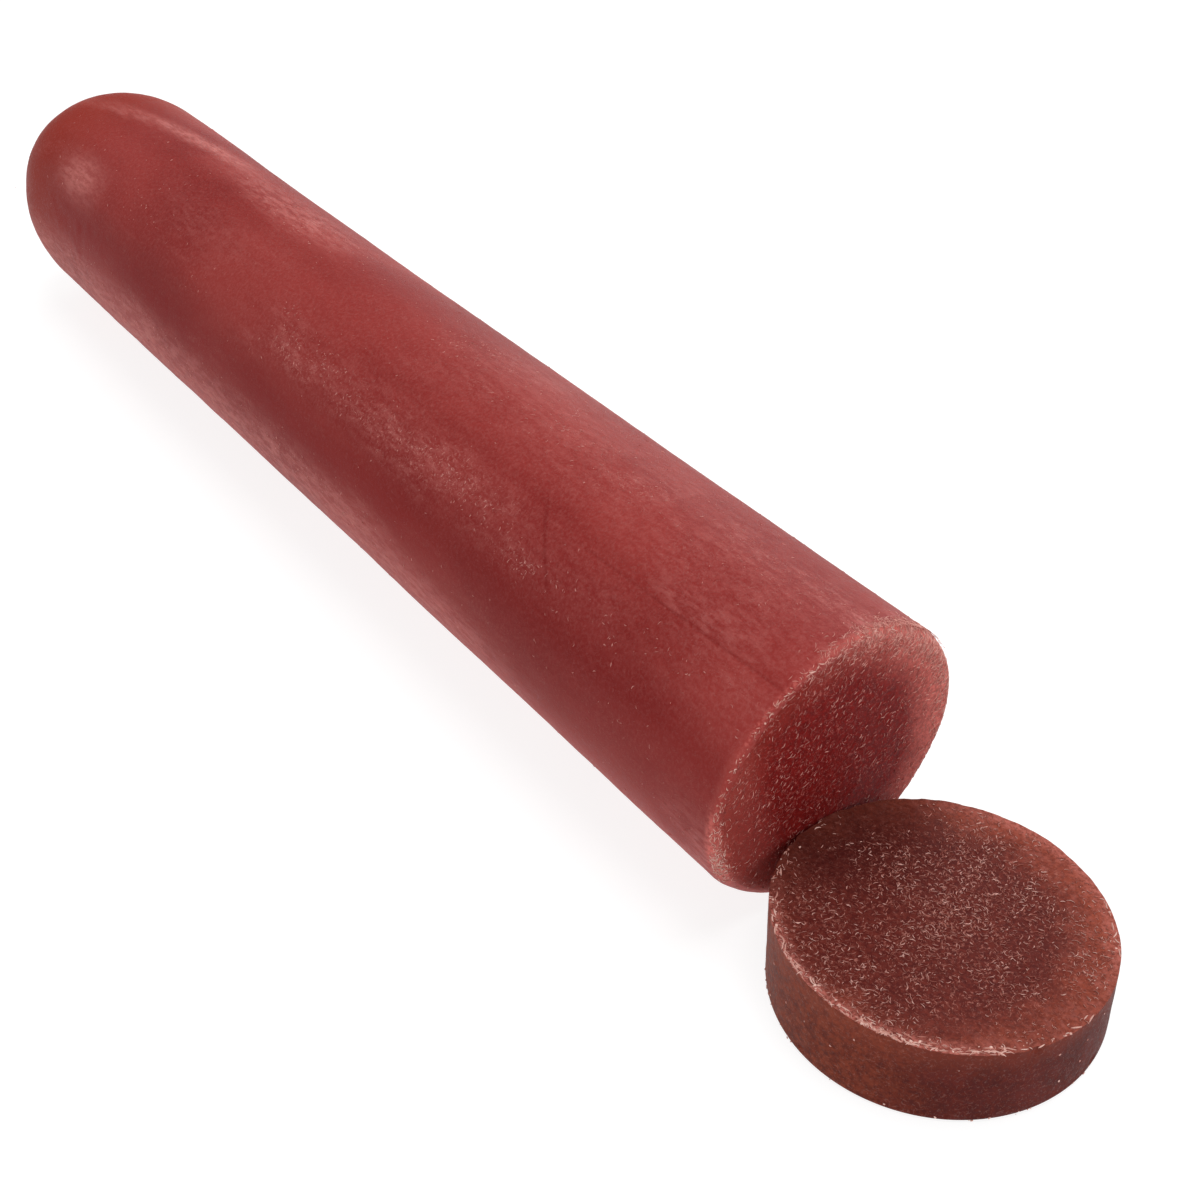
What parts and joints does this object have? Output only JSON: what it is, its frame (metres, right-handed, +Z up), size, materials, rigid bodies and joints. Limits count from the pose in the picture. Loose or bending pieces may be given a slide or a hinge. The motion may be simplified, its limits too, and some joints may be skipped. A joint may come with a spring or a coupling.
{
  "type": "road flare",
  "caption": "Hand-struck road flare: a wax-dipped stick with a domed end and a granular igniter face, and its flat striker cap lying off in front.",
  "frame": {"origin": "centre of the footprint of stick and cap together, on the surface they lie on", "axes": "+X along the stick from its rounded end to the igniter face and the cap; +Y across; +Z up"},
  "size_m": [0.1742, 0.0262, 0.0252],
  "materials": {
    "wax": "satin",
    "cap_wax": "satin",
    "igniter": "matte",
    "striker": "matte",
    "charge": "matte",
    "first_fire": "matte",
    "kraft_tube": "matte",
    "card": "matte",
    "plug_wood": "matte"
  },
  "bodies": {
    "flare": {"wax_coat": "wax", "casing_tube": "kraft_tube", "base_plug": "plug_wood", "base_wad": "card", "charge_1": "charge", "charge_2": "charge", "charge_3": "charge", "charge_4": "charge", "charge_5": "charge", "first_fire": "first_fire", "igniter": "igniter"},
    "cap": {"cap_coat": "cap_wax", "cap_board": "card", "cap_ring": "kraft_tube", "striker_backing": "plug_wood", "striker_pad": "striker"}
  },
  "joints": [
    {"name": "cap_lift", "type": "slide", "parent": "flare", "child": "cap", "axis": [0.1736, 0, 0.9848], "range_m": [0, 0.04]}
  ]
}
